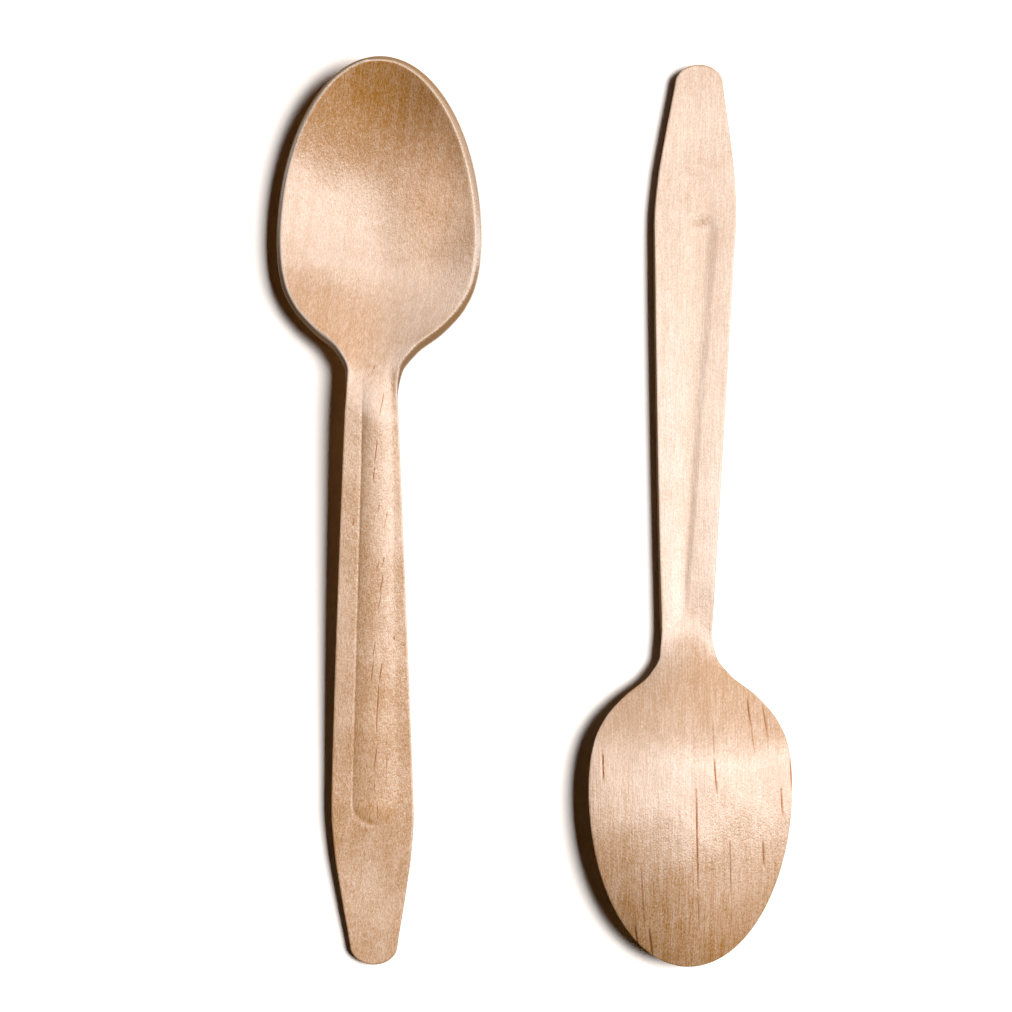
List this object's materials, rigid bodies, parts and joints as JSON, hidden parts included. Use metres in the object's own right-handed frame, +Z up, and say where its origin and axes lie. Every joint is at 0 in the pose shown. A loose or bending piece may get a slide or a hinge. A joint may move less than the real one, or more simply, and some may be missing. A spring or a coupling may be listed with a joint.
{
  "type": "wooden spoon pack",
  "caption": "Disposable wooden spoons pressed from thin wood, lying side by side, face up and face down, with an egg-shaped bowl and a ribbed handle for eating and stirring.",
  "frame": {"origin": "on the table under the middle of the pair's footprint", "axes": "+X to the right across both spoons, +Y along the spoons towards the tip of the face-up bowl, +Z up from the table"},
  "size_m": [0.0942, 0.1652, 0.0112],
  "materials": {
    "spoon_face_up_wood": "bare, smooth pressed",
    "spoon_face_down_wood": "bare, smooth pressed"
  },
  "bodies": {
    "root": {"spoon_face_up": "spoon_face_up_wood", "spoon_face_down": "spoon_face_down_wood"}
  },
  "joints": []
}
